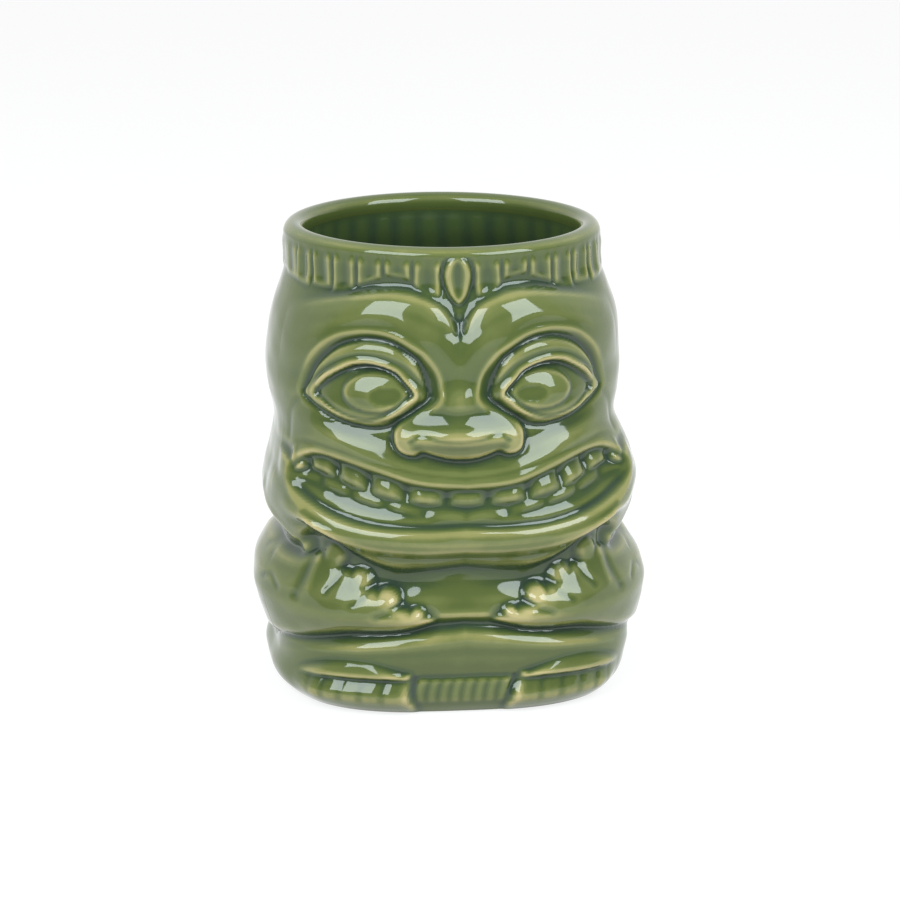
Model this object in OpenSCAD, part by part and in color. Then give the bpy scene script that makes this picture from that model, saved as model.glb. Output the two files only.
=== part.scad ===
// Squat ceramic mug carved as a grinning figure with folded hands.
// +Z is up, the figure faces -Y, and the origin is the centre of the face that the mug stands on.
// "left" is the -X side, as seen by someone facing the figure.
//
// Every carved member is a pad that lies on the outside of the cup wall. A place on the wall
// is given by u, the distance round from the centre of the face, and z, the height, both on the
// nominal mug, which is 115 mm high and 84 mm across.

/* [Size] */
// Height from the table to the top of the rim
mug_h = 115; // [105:1:125]
// Width across the rim
rim_w = 79.4; // [76:0.2:83]
// Width across the head at the eyes
head_w = 86.6; // [84:0.2:90]
// Width across the jaw at the teeth
jaw_w = 90.8; // [88:0.2:94]
// Width across the waist, under the chin
waist_w = 88; // [86:0.2:90]
// Width across the base
base_w = 89.2; // [86:0.2:92]
// Width across the elbows
elbow_w = 98.6; // [96:0.2:102]

/* [Vessel] */
// Thickness of the cup wall
wall_t = 5; // [4:0.1:6]
// Thickness of the floor
floor_t = 5; // [4:0.1:6]
// Height of the bare foot ring
foot_h = 1.2; // [0.8:0.1:1.8]
// Outer radius of the foot ring
foot_r = 38.5; // [36:0.5:39]
// Width of the foot ring
foot_w = 4; // [3:0.5:6]

/* [Carving] */
// Depth of the carving, as a share of the usual depth
relief = 1; // [0.7:0.05:1.2]
// Number of leaves in the fringe under the rim, with the one on the forehead
leaf_count = 34; // [28:2:40]
// Number of upper teeth
upper_tooth_count = 9; // [7:2:9]
// Number of lower teeth
lower_tooth_count = 10; // [8:2:10]
// Number of toes on each foot
toe_count = 5; // [4:1:5]

/* [Hidden] */

glaze = "#6f8354";
glaze_pale = "#a9ad79";
glaze_deep = "#4d6046";
bare_clay = "#d8cdb8";

nominal_h = 115;      // height that every z in this file refers to
nominal_r = 42;       // radius that every u in this file refers to
k = mug_h / nominal_h;
sides = 60;           // flats round the cup
base_power = 2.87;    // 2 is a circle in plan, and more is squarer
rim_power = 1.95;
lip_t = 5.2;          // thickness of the rolled rim
lip_depth = 4;        // depth of the rolled rim inside the cup
seat = 0.02;          // hairline gap between a member and the wall
edge_t = 0.35;        // thickness of a member at its edge

// Half-width of the plain cup at each height, from the table to the rim
profile = [
    [0, base_w / 2 - 3.4], [2, base_w / 2 - 1.6], [5, base_w / 2], [24, base_w / 2 - 0.1],
    [38, waist_w / 2], [46, jaw_w / 2 - 0.4], [52, jaw_w / 2], [58, jaw_w / 2 - 1.1],
    [66, head_w / 2 - 0.9], [74, head_w / 2 - 0.4], [80, head_w / 2], [86, head_w / 2 - 0.2],
    [94, head_w / 2 - 1], [100, head_w / 2 - 2.7], [105, rim_w / 2 - 0.9],
    [110, rim_w / 2 - 0.3], [112.6, rim_w / 2]
];

function half_width(z) = lookup(z, profile);
function plan_power(z) = base_power + (rim_power - base_power) * z / nominal_h;

// Radius of a superellipse in plan, in the direction a degrees from the face
function plan_radius(width, power, a) =
    width * pow(pow(abs(cos(a)), power) + pow(abs(sin(a)), power), -1 / power);
function wall_radius(a, z) = plan_radius(half_width(z), plan_power(z), a);
function bearing(u) = u / nominal_r * 180 / PI;
function polar(r, a, z) = [r * sin(a), -r * cos(a), z];

// Smooth curve through points [x, y], held flat beyond its ends
function stretch(p, x, i = 0) = i >= len(p) - 2 || x < p[i + 1][0] ? i : stretch(p, x, i + 1);
function slope(p, i) =
    let(a = p[max(i - 1, 0)], b = p[min(i + 1, len(p) - 1)]) (b[1] - a[1]) / (b[0] - a[0]);
function curve(p, x) =
    let(
        q = max(p[0][0], min(p[len(p) - 1][0], x)),
        i = stretch(p, q),
        h = p[i + 1][0] - p[i][0],
        t = (q - p[i][0]) / h,
        turn = t * t * (3 - 2 * t)
    )
    p[i][1] * (1 - turn) + p[i + 1][1] * turn
        + h * t * (1 - t) * ((1 - t) * slope(p, i) - t * slope(p, i + 1));

// Shapes for the thickness of a pad: s runs across it from 0 to 1, and t from bottom to top
function swell(s, power = 0.5) = pow(max(0, sin(180 * s)), power);
dome = function(s, t) swell(s) * swell(t);
pillow = function(s, t) swell(s, 0.3) * swell(t, 0.3);

// A closed pad on the wall, between u_from and u_to and between the curves low and high.
// thick(s, t) is its thickness from 0 to 1, times depth.
module pad(u_from, u_to, low, high, depth, thick, cols, rows) {
    across = cols + 1;
    layer = across * (rows + 1);
    function place(i, j, lift) =
        let(
            u = u_from + (u_to - u_from) * i / cols,
            z = low(u) + (high(u) - low(u)) * j / rows,
            a = bearing(u)
        )
        polar(wall_radius(a, z) + lift, a, z * k);
    function front(i, j) = j * across + i;
    function back(i, j) = layer + front(i, j);
    outside = [for (j = [0:rows], i = [0:cols])
        place(i, j, seat + edge_t + max(0, depth * relief - edge_t) * thick(i / cols, j / rows))];
    inside = [for (j = [0:rows], i = [0:cols]) place(i, j, seat)];
    faces = [
        for (j = [0:rows - 1], i = [0:cols - 1]) each [
            [front(i, j), front(i, j + 1), front(i + 1, j + 1)],
            [front(i, j), front(i + 1, j + 1), front(i + 1, j)],
            [back(i, j), back(i + 1, j + 1), back(i, j + 1)],
            [back(i, j), back(i + 1, j), back(i + 1, j + 1)]
        ],
        for (i = [0:cols - 1]) each [
            [front(i, 0), front(i + 1, 0), back(i + 1, 0)],
            [front(i, 0), back(i + 1, 0), back(i, 0)],
            [front(i, rows), back(i + 1, rows), front(i + 1, rows)],
            [front(i, rows), back(i, rows), back(i + 1, rows)]
        ],
        for (j = [0:rows - 1]) each [
            [front(0, j), back(0, j + 1), front(0, j + 1)],
            [front(0, j), back(0, j), back(0, j + 1)],
            [front(cols, j), front(cols, j + 1), back(cols, j + 1)],
            [front(cols, j), back(cols, j + 1), back(cols, j)]
        ]
    ];
    polyhedron(concat(outside, inside), faces);
}

module mirrored() { mirror([1, 0, 0]) children(); }

// ---- vessel -------------------------------------------------------------------------------

// The wall's outline in rings, up the outside from the foot, over the rim, and down the inside
// to the floor. Each ring is [height, distance in from the outside].
lip_steps = 5;        // rings over the rolled rim, an odd number so that one is on its top
outer_rings = [for (p = profile) [max(p[0], foot_h / k), 0]];
lip_rings = [for (i = [1:lip_steps])
    let(a = 180 * i / (lip_steps + 1))
    [112.6 + 2.4 * sin(a), lip_t / 2 * (1 - cos(a))]];
inner_rings = [
    [112.6, lip_t], [nominal_h - lip_depth, lip_t], [108, wall_t], [98, wall_t], [80, wall_t],
    [52, wall_t], [20, wall_t], [floor_top() / k + 3, wall_t],
    [floor_top() / k, wall_t + 1.5], [foot_h / k, wall_t + 1.5]
];
function floor_top() = foot_h + floor_t;
function inside_width(ring) = half_width(ring[0]) - ring[1];

module cup_wall() {
    rings = concat(outer_rings, lip_rings, inner_rings);
    count = len(rings);
    floor_width = inside_width(inner_rings[len(inner_rings) - 2]);
    points = [for (j = [0:count - 1], i = [0:sides - 1])
        let(
            ring = rings[j],
            a = 360 * i / sides,
            width = j < count - 1 ? inside_width(ring) : floor_width,
            power = j < count - 1 ? plan_power(ring[0]) : plan_power(floor_top() / k)
        )
        polar(plan_radius(width, power, a), a, ring[0] * k)];
    function at(i, j) = (j % count) * sides + i % sides;
    faces = [for (j = [0:count - 1], i = [0:sides - 1]) each [
        [at(i, j), at(i, j + 1), at(i + 1, j + 1)],
        [at(i, j), at(i + 1, j + 1), at(i + 1, j)]
    ]];
    color(glaze) polyhedron(points, faces);
}

module cup_floor() {
    width = inside_width(inner_rings[len(inner_rings) - 2]);
    power = plan_power(floor_top() / k);
    outline = [for (i = [0:sides - 1])
        let(a = 360 * i / sides, r = plan_radius(width, power, a))
        [r * sin(a), -r * cos(a)]];
    color(glaze) translate([0, 0, foot_h]) linear_extrude(floor_t) polygon(outline);
}

module foot_ring() {
    color(bare_clay) difference() {
        cylinder(h = foot_h, r = foot_r, $fn = 120);
        translate([0, 0, -1]) cylinder(h = foot_h + 2, r = foot_r - foot_w, $fn = 120);
    }
}

// ---- hair ---------------------------------------------------------------------------------

leaf_pitch = 2 * PI * nominal_r / leaf_count;
leaf_low = 105.2;
leaf_high = 112.6;

module hair_fringe() {
    low = function(u) leaf_low;
    high = function(u) leaf_high;
    color(glaze_pale) for (n = [1:leaf_count - 1])
        pad(
            (n - 0.44) * leaf_pitch, (n + 0.44) * leaf_pitch,
            low, high, 1.1, dome, 2, 3
        );
}

module forehead_leaf() {
    half = 0.44 * leaf_pitch;
    low = function(u) 101.8 + 3.4 * pow(abs(u) / half, 1.6);
    high = function(u) leaf_high;
    color(glaze_pale) pad(-half, half, low, high, 2, dome, 6, 6);
}

module hair_lock() {
    low = function(u) 35.4 + 0.2 * pow(abs(u - 37.5), 1.6);
    high = function(u) 43.5 - 0.12 * pow(abs(u - 37.5), 1.8);
    color(glaze) pad(33.8, 41.2, low, high, 3, dome, 5, 5);
}
module hair_lock_right() { hair_lock(); }
module hair_lock_left() { mirrored() hair_lock(); }

// ---- eyes and brows -----------------------------------------------------------------------

brow_top = [[3, 100], [6, 102.5], [10, 104], [15, 104.9], [20, 104.4], [30, 102.4], [44, 98.5]];
socket = [
    [3, 87], [5.5, 86.6], [8, 90], [10, 91.6], [15, 94.6], [20, 95.4], [25, 95],
    [30, 93.4], [35, 89.4], [39, 84], [44, 80]
];
lid_top = [
    [9, 87.6], [10, 89], [15, 92.4], [20, 93.2], [25, 92.6], [30, 90.6], [35, 85.8], [36.5, 82]
];
lid_edge = [[9, 80.8], [12, 84.6], [15, 87], [20, 88.2], [25, 87.6], [30, 85.2], [36.5, 79.4]];
eye_top = [[11, 81.2], [12, 83], [15, 85.6], [20, 86.8], [25, 86.4], [30, 83.9], [34, 80]];
eye_bottom = [[11, 80.4], [12, 79.3], [14, 77.4], [17, 75.3], [20, 74.5], [28, 75.7], [34, 79]];
under_lid_top = [[9, 79.5], [12, 77.9], [14, 76.4], [17, 74.6], [20, 73.9], [28, 75], [37, 78.4]];
under_lid_low = [[9, 77], [13.5, 73.9], [16, 72.2], [20, 71.8], [25, 72.3], [30, 73.5], [37, 77.2]];

module brow() {
    color(glaze) pad(
        3, 44, function(u) curve(socket, u), function(u) curve(brow_top, u),
        2.4, dome, 12, 5
    );
}
module brow_right() { brow(); }
module brow_left() { mirrored() brow(); }

module upper_lid() {
    color(glaze_pale) pad(
        9, 36.5, function(u) curve(lid_edge, u), function(u) curve(lid_top, u),
        1.9, pillow, 12, 3
    );
}
module upper_lid_right() { upper_lid(); }
module upper_lid_left() { mirrored() upper_lid(); }

module eye() {
    color(glaze_deep) pad(
        11, 34, function(u) curve(eye_bottom, u), function(u) curve(eye_top, u),
        2.3, dome, 10, 6
    );
}
module eye_right() { eye(); }
module eye_left() { mirrored() eye(); }

module lower_lid() {
    color(glaze_pale) pad(
        9, 37, function(u) curve(under_lid_low, u), function(u) curve(under_lid_top, u),
        1.3, pillow, 12, 3
    );
}
module lower_lid_right() { lower_lid(); }
module lower_lid_left() { mirrored() lower_lid(); }

// ---- nose and cheeks ----------------------------------------------------------------------

nose_half = 14.5;
nose_top = [[0, 86], [3, 84.6], [5, 80], [7, 77.6], [11, 75.8], [nose_half, 72.6]];
nose_low = [[0, 65], [5, 66], [8, 67.2], [11, 66.4], [13, 66.8], [nose_half, 68]];
cheek_top = [[15.2, 71], [20, 71.2], [25, 71.7], [30, 72.8], [37, 75.6], [46, 71]];
cheek_low = [[15.2, 64.4], [20, 65.2], [28, 67], [38, 67.8], [46, 64.5]];

module nose() {
    low = function(u) curve(nose_low, abs(u));
    high = function(u) curve(nose_top, abs(u));
    // Full at the tip, a quarter of the way up, and thin at the bridge
    thick = function(s, t)
        let(across = swell(s, 0.6), tip = curve([[0, 0.35], [0.25, 1], [0.5, 0.8], [1, 0.2]], t))
        across * tip;
    color(glaze) pad(-nose_half, nose_half, low, high, 6, thick, 14, 10);
}

module cheek() {
    color(glaze) pad(
        15.2, 46, function(u) curve(cheek_low, u), function(u) curve(cheek_top, u),
        1.6, dome, 10, 4
    );
}
module cheek_right() { cheek(); }
module cheek_left() { mirrored() cheek(); }

// ---- mouth --------------------------------------------------------------------------------

mouth_half = 40.5;
upper_lip_top = [[0, 60.8], [10, 62], [20, 64.2], [28, 66], [36, 66.9], [mouth_half, 64]];
mouth_top = [[0, 57.4], [10, 58.2], [20, 61], [27, 62.5], [34, 63.2], [mouth_half, 60.5]];
gum_line = [[0, 50], [9, 50.6], [15, 52], [22, 53.3], [30, 54.8], [mouth_half, 56.6]];
lower_lip_top = [[0, 48.3], [10, 48.7], [20, 49.6], [30, 51.2], [35, 53], [mouth_half, 56]];
lower_lip_low = [[0, 43.8], [10, 44], [20, 45.2], [30, 47.4], [mouth_half, 51.8]];
jaw_edge = [[0, 38.8], [10, 38], [15, 37.8], [20, 39], [25, 41.3], [30, 43.7], [mouth_half, 48.6]];
tooth_gap = 0.15;

function bite_line(u) = 53.4 + 0.0052 * u * u;
// Where tooth number x starts, counted from the middle of the face: they narrow outwards
function tooth_edge(x) = sign(x) * (9.3 * abs(x) - 0.21 * x * x);

module upper_lip() {
    low = function(u) curve(mouth_top, abs(u));
    high = function(u) curve(upper_lip_top, abs(u));
    color(glaze) pad(-mouth_half, mouth_half, low, high, 1.8, pillow, 26, 3);
}

module upper_teeth() {
    low = function(u) bite_line(u) + tooth_gap;
    high = function(u) curve(mouth_top, abs(u)) - tooth_gap;
    color(glaze_pale) for (n = [0:upper_tooth_count - 1]) {
        x = n - upper_tooth_count / 2;
        pad(tooth_edge(x) + tooth_gap, tooth_edge(x + 1) - tooth_gap, low, high, 1.1, pillow, 4, 3);
    }
}

module lower_teeth() {
    low = function(u) curve(gum_line, abs(u));
    high = function(u) bite_line(u) - tooth_gap;
    color(glaze_pale) for (n = [0:lower_tooth_count - 1]) {
        x = n - lower_tooth_count / 2;
        from = max(tooth_edge(x), -mouth_half) + tooth_gap;
        to = min(tooth_edge(x + 1), mouth_half) - tooth_gap;
        pad(from, to, low, high, 1, pillow, 4, 3);
    }
}

module lower_lip() {
    low = function(u) curve(lower_lip_low, abs(u));
    high = function(u) curve(lower_lip_top, abs(u));
    color(glaze) pad(-mouth_half, mouth_half, low, high, 3, pillow, 26, 4);
}

module chin() {
    low = function(u) curve(jaw_edge, abs(u));
    high = function(u) curve(lower_lip_low, abs(u)) - tooth_gap;
    color(glaze_deep) pad(-mouth_half, mouth_half, low, high, 2, pillow, 26, 4);
}

// ---- body ---------------------------------------------------------------------------------

elbow_depth = elbow_w / 2 - half_width(24);
arm_low = [[35, 17.6], [40, 16.4], [50, 15], [60, 14.8], [80, 17]];
arm_top = [[35, 33], [40, 34.5], [43, 41], [50, 44], [60, 44], [70, 42], [80, 36]];
hand_low = [[6, 24.6], [9, 22.9], [15, 21.3], [20, 20.7], [25, 20.2], [30, 19], [34.4, 17.8]];
belly_top = [[0, 22.4], [7, 22.2], [10, 20.8], [15, 18.4], [20, 16.6]];
belly_low = [[0, 10.6], [8, 10.8], [12, 11.6], [16, 13.6], [20, 15]];

module arm() {
    thick = function(s, t)
        swell(s, 0.45) * curve([[0, 0.15], [0.15, 0.75], [0.35, 1], [0.7, 0.55], [1, 0.1]], t);
    color(glaze) pad(
        35, 80, function(u) curve(arm_low, u), function(u) curve(arm_top, u),
        elbow_depth, thick, 12, 9
    );
}
module arm_right() { arm(); }
module arm_left() { mirrored() arm(); }

// Each finger is [inner edge, outer edge, height of the tip]
fingers = [[6.2, 13, 28.6], [13.3, 19.3, 33.4], [19.6, 25.6, 37], [25.9, 34.4, 42.4]];

module hand() {
    low = function(u) curve(hand_low, u);
    thick = function(s, t) swell(s, 0.4) * curve([[0, 0.3], [0.3, 0.9], [0.75, 1], [1, 0.2]], t);
    color(glaze) for (f = fingers) {
        middle = (f[0] + f[1]) / 2;
        half = (f[1] - f[0]) / 2;
        high = function(u) f[2] - 2 * pow(abs(u - middle) / half, 2.5);
        pad(f[0], f[1], low, high, 4, thick, 4, 7);
    }
}
module hand_right() { hand(); }
module hand_left() { mirrored() hand(); }

module chest() {
    low = function(u) 28.9;
    high = function(u) 37 - 0.006 * u * u;
    color(glaze) pad(-12, 12, low, high, 1.2, dome, 8, 4);
}

module belly() {
    low = function(u) curve(belly_low, abs(u));
    high = function(u) curve(belly_top, abs(u));
    color(glaze) pad(-20, 20, low, high, 2.6, dome, 14, 6);
}

foot_inner = 12.6;
foot_outer = 39;
toe_low = 3.8;
toe_high = 9.6;
instep_top = [[12.6, 10.8], [16, 12.3], [22, 14.3], [30, 13.4], [39, 11.4]];

module foot() {
    toe_pitch = (foot_outer - foot_inner) / toe_count;
    low = function(u) toe_low;
    high = function(u) toe_high;
    color(glaze) for (n = [0:toe_count - 1]) {
        from = foot_inner + n * toe_pitch;
        pad(from + tooth_gap, from + toe_pitch - tooth_gap, low, high, 2.6, pillow, 4, 4);
    }
    instep_low = function(u) toe_high + tooth_gap;
    instep_high = function(u) curve(instep_top, u);
    color(glaze) pad(foot_inner, foot_outer, instep_low, instep_high, 1.8, dome, 10, 3);
}
module foot_right() { foot(); }
module foot_left() { mirrored() foot(); }

module apron() {
    strand_count = 8;
    half = 10.6;
    pitch = 2 * half / strand_count;
    low = function(u) toe_low;
    high = function(u) toe_high;
    color(glaze_pale) for (n = [0:strand_count - 1]) {
        from = -half + n * pitch;
        pad(from + tooth_gap, from + pitch - tooth_gap, low, high, 1.4, pillow, 2, 3);
    }
}

// ---- nodes --------------------------------------------------------------------------------

cup_wall();
cup_floor();
foot_ring();
hair_fringe();
forehead_leaf();
brow_left();
brow_right();
upper_lid_left();
upper_lid_right();
eye_left();
eye_right();
lower_lid_left();
lower_lid_right();
nose();
cheek_left();
cheek_right();
upper_lip();
upper_teeth();
lower_teeth();
lower_lip();
chin();
hair_lock_left();
hair_lock_right();
arm_left();
arm_right();
hand_left();
hand_right();
chest();
belly();
foot_left();
foot_right();
apron();
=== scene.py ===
import math
import bpy
import numpy as np
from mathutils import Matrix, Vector


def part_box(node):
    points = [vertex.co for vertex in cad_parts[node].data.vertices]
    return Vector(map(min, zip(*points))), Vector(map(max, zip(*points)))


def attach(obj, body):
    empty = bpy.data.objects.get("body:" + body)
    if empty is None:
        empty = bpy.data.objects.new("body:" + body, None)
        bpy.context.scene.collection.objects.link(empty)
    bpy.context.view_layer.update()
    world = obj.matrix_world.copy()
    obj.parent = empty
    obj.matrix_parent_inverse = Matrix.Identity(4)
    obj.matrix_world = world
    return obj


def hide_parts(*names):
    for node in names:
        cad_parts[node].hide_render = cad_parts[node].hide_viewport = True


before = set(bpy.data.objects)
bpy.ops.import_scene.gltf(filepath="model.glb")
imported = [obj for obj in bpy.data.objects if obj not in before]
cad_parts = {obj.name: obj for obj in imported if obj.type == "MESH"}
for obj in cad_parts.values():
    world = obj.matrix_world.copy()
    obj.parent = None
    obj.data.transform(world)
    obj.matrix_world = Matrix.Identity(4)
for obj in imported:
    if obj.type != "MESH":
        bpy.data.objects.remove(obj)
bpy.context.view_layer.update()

# The glazed mug is sculpted as one radial height field on the outside of the cup, then cut along
# the carved outlines into one closed piece for each CAD node. A place on the wall is given by u,
# the distance round from the middle of the face, and z, the height, both in mm.

MM = 0.001
NOMINAL_R = 42.0
HALF_TURN = math.pi * NOMINAL_R
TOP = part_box("cup_wall")[1][2] / MM
FLOOR_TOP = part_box("cup_floor")[1][2] / MM
FOOT_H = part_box("foot_ring")[1][2] / MM
FOOT_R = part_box("foot_ring")[1][0] / MM
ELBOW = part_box("arm_right")[1][0] / MM

STEP = 0.48            # mm between points on the carved front
FRONT = 50.0           # u where the fine part of the mesh ends
BACK_STEP = 1.4        # mm between points round the back
BACKING = 1.5          # how deep each carved piece is let into the wall
WALL = 5.0             # thickness of the cup's wall
RIM_WIDTH = 5.2        # width of the rolled rim
RIM_TURN = 112.6       # where the outside turns over into the rolled rim
RIM_INNER_LOW = 111.0  # where the rim meets the inside of the wall
CORNER_TOP = 12        # where the inside starts to turn into the floor
CORNER_REACH = 5       # how far that turn reaches in from the wall
FLOOR_INSET = 5.6      # from the inside of the wall to the edge of the floor piece
FOOT_WIDTH = 4         # width of the bare foot ring
BASE_POWER = 2.87      # plan of the cup: 2 is round, more is squarer
RIM_POWER = 1.95

# The cup's nominal radius at each height, before the carving.
PROFILE = [
    (0.3, 41.9), (2, 43.3), (5, 44.6), (10, 44.7), (24, 44.4), (38, 44.0), (46, 45.0), (52, 45.4),
    (58, 44.3), (66, 42.3), (74, 42.8), (80, 43.3), (86, 43.1), (94, 42.2), (100, 40.5),
    (105, 39.1), (110, 39.3), (RIM_TURN, 39.4),
]


# ---- curves and fields ---------------------------------------------------------------------

def curve(points, x):
    """Smooth curve y(x) through points, held flat beyond its ends."""
    p = np.array(points, float)
    px, py = p[:, 0], p[:, 1]
    slope = np.gradient(py, px)
    x = np.clip(x, px[0], px[-1])
    i = np.clip(np.searchsorted(px, x, side="right") - 1, 0, len(px) - 2)
    h = px[i + 1] - px[i]
    t = (x - px[i]) / h
    turn = t * t * (3 - 2 * t)
    bend = h * t * (1 - t) * ((1 - t) * slope[i] - t * slope[i + 1])
    return py[i] * (1 - turn) + py[i + 1] * turn + bend


def spline(points, closed=False, per_span=7):
    """Points along a smooth line through the given points."""
    p = np.array(points, float)
    if closed:
        p = np.vstack([p[-1], p, p[:2]])
    else:
        p = np.vstack([2 * p[0] - p[1], p, 2 * p[-1] - p[-2]])
    t = np.linspace(0, 1, per_span, endpoint=False)[:, None]
    spans = []
    for a, b, c, d in zip(p, p[1:], p[2:], p[3:]):
        spans.append(b + 0.5 * t * (c - a + t * (2 * a - 5 * b + 4 * c - d + t * (3 * (b - c) + d - a))))
    spans.append(p[1:2] if closed else p[-2:-1])
    return np.vstack(spans)


def both_sides(half):
    """A closed outline from its right half, listed from the middle round to the middle."""
    return half + [(-u, z) for u, z in reversed(half) if u > 0]


front_columns = np.arange(0, FRONT, STEP)
back_columns = np.linspace(FRONT, HALF_TURN, int((HALF_TURN - FRONT) / BACK_STEP))
half_u = np.concatenate([front_columns, back_columns])
rows_z = np.linspace(PROFILE[0][0], RIM_TURN, int((RIM_TURN - PROFILE[0][0]) / STEP))
U, Z = np.meshgrid(half_u, rows_z)
FAR = 99.0


def distance(line, reach=8.0):
    """Distance from every grid point to a line, or FAR beyond reach."""
    line = np.array(line)
    low, high = line.min(0) - reach, line.max(0) + reach
    near = (U >= low[0]) & (U <= high[0]) & (Z >= low[1]) & (Z <= high[1])
    pu, pz = U[near], Z[near]
    best = np.full(pu.shape, FAR)
    for (au, az), (bu, bz) in zip(line, line[1:]):
        du, dz = bu - au, bz - az
        length = du * du + dz * dz
        if length == 0:
            continue
        t = np.clip(((pu - au) * du + (pz - az) * dz) / length, 0, 1)
        best = np.minimum(best, np.hypot(pu - au - t * du, pz - az - t * dz))
    out = np.full(U.shape, FAR)
    out[near] = best
    return out


def inside(outline, u, z):
    """Whether each place lies inside an outline, by counting the edges that lie beyond it in u."""
    hit = np.zeros(u.shape, bool)
    for (au, az), (bu, bz) in zip(outline, outline[1:]):
        if az == bz:
            continue
        crosses = (az > z) != (bz > z)
        hit ^= crosses & (u < (bu - au) * (z - az) / (bz - az) + au)
    return hit


def depth_in(outline, reach=8.0):
    """Distance inside a closed outline, and less than 0 outside it."""
    away = distance(outline, reach)
    return np.where(inside(outline, U, Z), away, -away)


def rounded(d, width):
    """0 outside, rising like a quarter circle to 1 at width inside the edge."""
    t = np.clip(d / width, 0, 1)
    return np.sqrt(t * (2 - t))


def domed(d, width):
    """0 outside, rising to 1 at width inside the edge, with a softer foot than rounded."""
    t = np.clip(d / width, 0, 1)
    return t * (2 - t)


def step(d, width):
    """A soft step from 0 to 1, centred on the edge."""
    t = np.clip(d / width + 0.5, 0, 1)
    return t * t * (3 - 2 * t)


def ridge(d, width):
    """1 where d is 0, falling softly to 0 on both sides."""
    return np.exp(-np.minimum((d / width) ** 2, 60))


def between(x, low, high):
    """Fades from 0 at low to 1 at high, or the other way when low is the larger."""
    t = np.clip((x - low) / (high - low), 0, 1)
    return t * t * (3 - 2 * t)


def blob(cu, cz, ru, rz):
    """A dome from 1 at its centre to 0 at its edge."""
    return np.sqrt(np.clip(1 - ((U - cu) / ru) ** 2 - ((Z - cz) / rz) ** 2, 0, 1))


def swelling(cu, cz, ru, rz):
    """A soft swelling with no edge."""
    return np.exp(-((U - cu) / ru) ** 2 - ((Z - cz) / rz) ** 2)


def blur(field, width):
    """Gaussian blur of a half field, mirrored at the middle and at the back."""
    taps = int(3 * width / STEP) + 1
    kernel = np.exp(-0.5 * (np.arange(-taps, taps + 1) * STEP / width) ** 2)
    kernel /= kernel.sum()
    for axis, mode in ((0, "edge"), (1, "reflect")):
        pad = [(0, 0), (0, 0)]
        pad[axis] = (taps, taps)
        wide = np.pad(field, pad, mode=mode)
        size = field.shape[axis]
        field = sum(k * np.take(wide, range(i, i + size), axis) for i, k in enumerate(kernel))
    return field


# ---- outlines of the carving ---------------------------------------------------------------

LEAVES = 34
LEAF_PITCH = 2 * HALF_TURN / LEAVES
LEAF_LOW = [(0, 104.2), (8, 104.4), (12, 106.6), (22, 107), (27, 105), (60, 104.4)]
LEAF_TOP = 112.8
CENTRE_LEAF = both_sides([(0, 113.2), (2.6, 112), (3.8, 109.4), (3.6, 106.6), (2.2, 103.4), (0, 101.6)])

BROW_TOP = [(0, 95.6), (1.5, 97.6), (3.2, 100.2), (6, 102.6), (10, 104.2), (15, 104.9), (20, 104.6),
            (30, 102.8), (40, 100.4), (52, 97)]
SOCKET_TOP = [(4.7, 79.5), (4.6, 82.4), (5.6, 86), (8, 89.6), (10, 91.4), (15, 94.2), (20, 95),
              (25, 94.5), (30, 92.8), (35, 88.8), (38.6, 83.6)]
SOCKET = SOCKET_TOP + [(40, 79), (38.4, 76.2), (34, 74.3), (30, 72.9), (25, 71.6), (20, 71),
                       (16, 71.4), (13, 73.2), (10.2, 75.2), (7, 77)]
LIDS = [(7.6, 79.8), (8.2, 84), (10.2, 88.8), (15, 92.2), (20, 93.2), (25, 92.6), (30, 90.4),
        (34.8, 86), (37.4, 81.4), (38.4, 78.4), (36, 76.5), (32, 74.7), (28, 73.4), (24, 72.6),
        (20, 72.3), (16.5, 72.9), (13.2, 75), (9.8, 77.6)]
EYE = [(10.4, 80.7), (12, 83.2), (15, 86), (20, 87.4), (25, 86.9), (30, 84.2), (34.8, 79.4),
       (32, 77.4), (28, 75.6), (24, 74.5), (20, 74.3), (17, 75.2), (14, 77.3), (12, 79.2)]
NOSE = both_sides([(0, 84), (3.4, 81.4), (6, 79), (9, 77.4), (12.4, 75.4), (14.4, 72.8), (14.8, 70),
                   (14, 67.6), (12.4, 66.4), (10.3, 66.1), (8.4, 66.9), (5.8, 66), (3, 65.2),
                   (0, 65)])
MOUTH_TOP = [(0, 57.4), (10, 58.2), (20, 61), (27, 62.6), (34, 63.2), (38.5, 62), (41.5, 59.4)]
BITE = [(0, 53.3), (10, 53.9), (20, 55.5), (30, 58), (36, 59.2), (41.5, 58.4)]
GUM = [(0, 50.4), (9, 50.9), (15, 52.1), (22, 53.5), (30, 55), (36, 56.3), (41.5, 57.6)]
LIP_TOP = [(0, 60.8), (10, 62), (20, 64.3), (28, 66.1), (36, 66.8), (44, 65.2)]
LIP_CREST = [(0, 46.2), (10, 45.8), (20, 46.2), (30, 48.3), (38, 51.4), (43, 53.8), (50, 55)]
LIP_LOW = [(0, 44.1), (10, 44), (20, 44.5), (30, 46.6), (38, 49.6), (44, 52.6), (52, 54)]
JAW = [(0, 38.8), (10, 37.9), (15, 37.7), (20, 38.9), (25, 41.2), (30, 43.6), (34, 44.9), (37, 43.6),
       (40, 41), (45, 38.8), (54, 38), (64, 38.6)]
CHEEK_TOP = [(0, 72), (12, 71), (20, 71.4), (25, 71.9), (30, 73), (38, 76), (46, 76)]

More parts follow.
